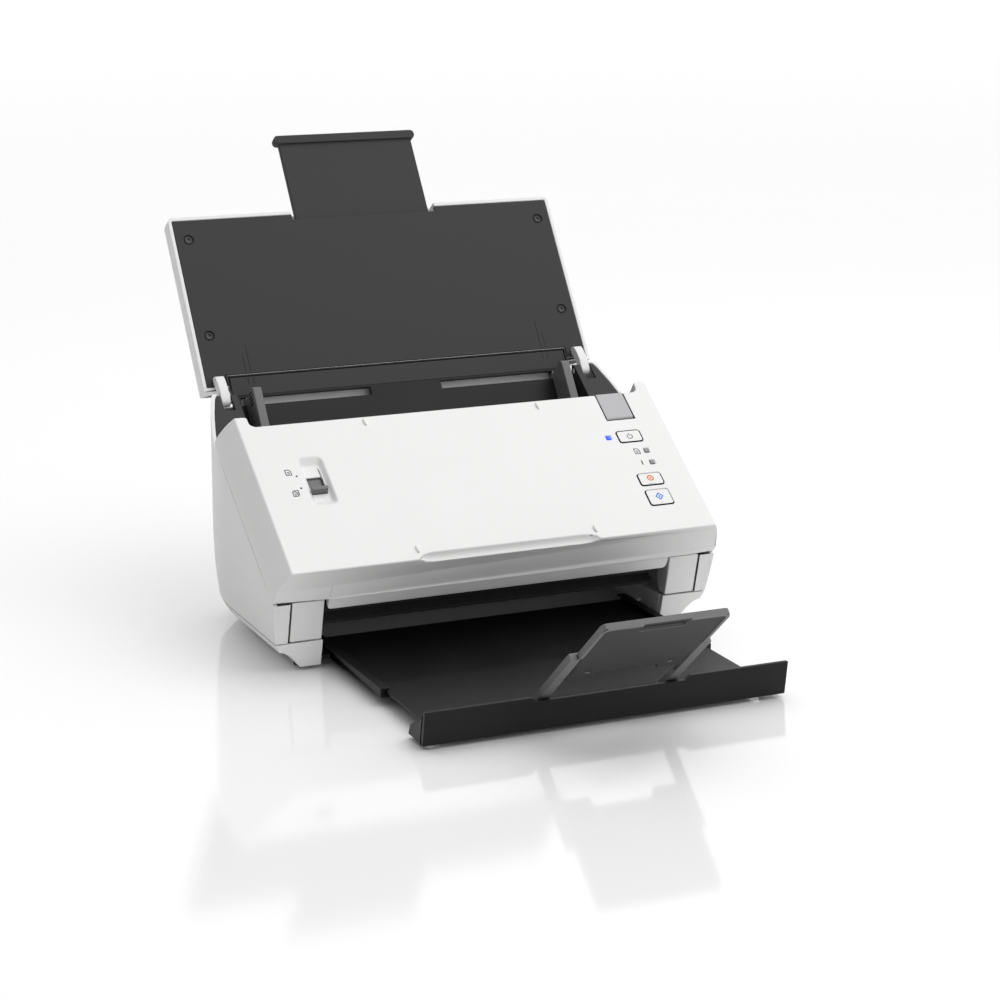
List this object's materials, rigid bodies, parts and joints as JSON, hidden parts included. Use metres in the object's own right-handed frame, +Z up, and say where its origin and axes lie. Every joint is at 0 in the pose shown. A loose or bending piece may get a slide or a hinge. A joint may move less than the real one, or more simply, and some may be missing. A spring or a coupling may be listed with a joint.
{
  "type": "sheet-fed document scanner",
  "caption": "Desktop sheet-fed document scanner with sloped opening cover, folding input tray with sliding edge guides and a telescoping output tray with folding stopper.",
  "frame": {"origin": "middle of the whole object's footprint, on the desk, at rest with the trays drawn out", "axes": "+Z up, -Y towards the user at the front, +X to the right seen from the front"},
  "size_m": [0.2962, 0.4836, 0.2911],
  "materials": {
    "white_plastic": "fine-grained moulded white plastic",
    "dark_plastic": "charcoal moulded plastic",
    "black_plastic": "black moulded plastic",
    "grey_plastic": "dark grey moulded plastic",
    "silver_plastic": "light grey moulded plastic",
    "rubber": "matt black rubber",
    "steel": "plain sheet and drawn steel",
    "glass": "clear strip",
    "board": "coated circuit board",
    "nylon": "natural nylon",
    "blue_lens": "clear blue lens",
    "dark_lens": "smoked lens"
  },
  "bodies": {
    "base": {"bottom_case": "white_plastic", "side_panel_left": "white_plastic", "side_panel_right": "white_plastic", "side_trim_left": "dark_plastic", "side_trim_right": "dark_plastic", "rear_panel": "white_plastic", "power_inlet": "black_plastic", "usb_port": "steel", "main_board": "board", "paper_ramp": "dark_plastic", "lower_paper_guide": "dark_plastic", "lower_scan_glass": "glass", "lower_sensor_bar": "black_plastic", "frame_side_left": "steel", "frame_side_right": "steel", "drive_motor": "steel", "foot_front_left": "rubber", "foot_front_right": "rubber", "foot_rear_left": "rubber", "foot_rear_right": "rubber"},
    "feed_shaft": {"feed_roller": "rubber", "feed_gear": "nylon"},
    "exit_shaft": {"exit_roller": "rubber", "exit_gear": "nylon"},
    "pickup_shaft": {"pickup_roller": "rubber", "pickup_gear": "nylon"},
    "idler": {"idler_gear": "nylon"},
    "small_idler": {"small_idler_gear": "nylon"},
    "motor_rotor": {"motor_pinion": "nylon"},
    "cover": {"front_cover": "white_plastic", "cover_inner_guide": "dark_plastic", "upper_scan_glass": "glass", "upper_sensor_bar": "black_plastic", "button_board": "board", "hinge_block_left": "white_plastic", "hinge_block_right": "white_plastic", "led_power": "blue_lens", "led_upper": "dark_lens", "led_lower": "dark_lens"},
    "exit_pinch": {"exit_pinch_roller": "rubber"},
    "feed_pinch": {"feed_pinch_roller": "rubber"},
    "separation": {"separation_roller": "rubber"},
    "lever": {"cover_lever": "silver_plastic"},
    "power": {"power_button": "white_plastic"},
    "stop": {"stop_button": "white_plastic"},
    "start": {"start_button": "white_plastic"},
    "selector": {"feed_selector": "grey_plastic"},
    "input_tray": {"tray_shell": "white_plastic", "tray_face": "dark_plastic", "tray_arm_left": "white_plastic", "tray_arm_right": "white_plastic"},
    "input_extension": {"tray_extension": "dark_plastic"},
    "guide_left": {"edge_guide_left": "grey_plastic"},
    "guide_right": {"edge_guide_right": "grey_plastic"},
    "guide_gear": {"guide_pinion": "nylon"},
    "output_first": {"output_tray": "black_plastic"},
    "output_second": {"output_extension": "black_plastic"},
    "stopper": {"stopper_arms": "grey_plastic"},
    "stopper_slider": {"stopper_plate": "dark_plastic"}
  },
  "joints": [
    {"name": "feed_turn", "type": "hinge", "parent": "base", "child": "feed_shaft", "pos_m": [0, 0.06317, 0.07261], "axis": [1, 0, 0], "continuous": true},
    {"name": "exit_turn", "type": "hinge", "parent": "base", "child": "exit_shaft", "pos_m": [0, 0.01752, 0.04018], "axis": [1, 0, 0], "continuous": true},
    {"name": "pickup_turn", "type": "hinge", "parent": "base", "child": "pickup_shaft", "pos_m": [0, 0.0974, 0.09694], "axis": [1, 0, 0], "continuous": true},
    {"name": "idler_turn", "type": "hinge", "parent": "base", "child": "idler", "pos_m": [0, 0.04034, 0.0564], "axis": [1, 0, 0], "continuous": true},
    {"name": "small_idler_turn", "type": "hinge", "parent": "base", "child": "small_idler", "pos_m": [0, 0.08029, 0.08478], "axis": [1, 0, 0], "continuous": true},
    {"name": "motor_turn", "type": "hinge", "parent": "base", "child": "motor_rotor", "pos_m": [0, 0.07533, 0.0555], "axis": [1, 0, 0], "continuous": true},
    {"name": "cover_hinge", "type": "hinge", "parent": "base", "child": "cover", "pos_m": [0, -0.01848, 0.03], "axis": [-1, 0, 0], "range_deg": [-60, 0]},
    {"name": "exit_pinch_turn", "type": "hinge", "parent": "cover", "child": "exit_pinch", "pos_m": [0, 0.0104, 0.0502], "axis": [1, 0, 0], "continuous": true},
    {"name": "feed_pinch_turn", "type": "hinge", "parent": "cover", "child": "feed_pinch", "pos_m": [0, 0.05604, 0.08264], "axis": [1, 0, 0], "continuous": true},
    {"name": "separation_turn", "type": "hinge", "parent": "cover", "child": "separation", "pos_m": [0, 0.08912, 0.1086], "axis": [1, 0, 0], "continuous": true},
    {"name": "lever_hinge", "type": "hinge", "parent": "cover", "child": "lever", "pos_m": [0.1119, 0.0386, 0.12238], "axis": [-1, 0, 0], "range_deg": [-15, 0], "stiffness_Nm_per_rad": 0.2},
    {"name": "power_press", "type": "slide", "parent": "cover", "child": "power", "axis": [0, 0.5793, -0.8151], "range_m": [0, 0.0007], "stiffness_N_per_m": 800},
    {"name": "stop_press", "type": "slide", "parent": "cover", "child": "stop", "axis": [0, 0.5793, -0.8151], "range_m": [0, 0.0007], "stiffness_N_per_m": 800},
    {"name": "start_press", "type": "slide", "parent": "cover", "child": "start", "axis": [0, 0.5793, -0.8151], "range_m": [0, 0.0007], "stiffness_N_per_m": 800},
    {"name": "selector_slide", "type": "slide", "parent": "cover", "child": "selector", "axis": [0, 0.8151, 0.5793], "range_m": [0, 0.0093]},
    {"name": "input_tray_hinge", "type": "hinge", "parent": "base", "child": "input_tray", "pos_m": [0, 0.12056, 0.13749], "axis": [1, 0, 0], "range_deg": [0, 124.9]},
    {"name": "input_extension_slide", "type": "slide", "parent": "input_tray", "child": "input_extension", "axis": [0, -0.5721, -0.8202], "range_m": [0, 0.057]},
    {"name": "guide_left_slide", "type": "slide", "parent": "base", "child": "guide_left", "axis": [1, 0, 0], "range_m": [-0.003, 0.078]},
    {"name": "guide_right_slide", "type": "slide", "parent": "base", "child": "guide_right", "axis": [-1, 0, 0], "range_m": [-0.003, 0.078]},
    {"name": "guide_gear_turn", "type": "hinge", "parent": "base", "child": "guide_gear", "pos_m": [0, 0.12979, 0.13243], "axis": [0, -0.8202, 0.5721], "range_deg": [-30, 750]},
    {"name": "output_first_slide", "type": "slide", "parent": "base", "child": "output_first", "axis": [0, 1, 0], "range_m": [0, 0.083]},
    {"name": "output_second_slide", "type": "slide", "parent": "output_first", "child": "output_second", "axis": [0, 1, 0], "range_m": [0, 0.073]},
    {"name": "stopper_hinge", "type": "hinge", "parent": "output_second", "child": "stopper", "pos_m": [0, -0.15998, 0.0135], "axis": [-1, 0, 0], "range_deg": [0, 139.3]},
    {"name": "stopper_plate_slide", "type": "slide", "parent": "stopper", "child": "stopper_slider", "axis": [0, 0.7581, -0.6521], "range_m": [-0.013, 0]}
  ],
  "couplings": [
    {"joint": "exit_turn", "follows": "feed_turn", "ratio": 1},
    {"joint": "pickup_turn", "follows": "feed_turn", "ratio": 1},
    {"joint": "idler_turn", "follows": "feed_turn", "ratio": -1},
    {"joint": "small_idler_turn", "follows": "feed_turn", "ratio": -2},
    {"joint": "motor_turn", "follows": "feed_turn", "ratio": -2},
    {"joint": "exit_pinch_turn", "follows": "feed_turn", "ratio": -1.4},
    {"joint": "feed_pinch_turn", "follows": "feed_turn", "ratio": -1.4},
    {"joint": "separation_turn", "follows": "feed_turn", "ratio": -1},
    {"joint": "guide_right_slide", "follows": "guide_left_slide", "ratio": 1},
    {"joint": "guide_gear_turn", "follows": "guide_left_slide", "rad_per_m": 166.67}
  ]
}
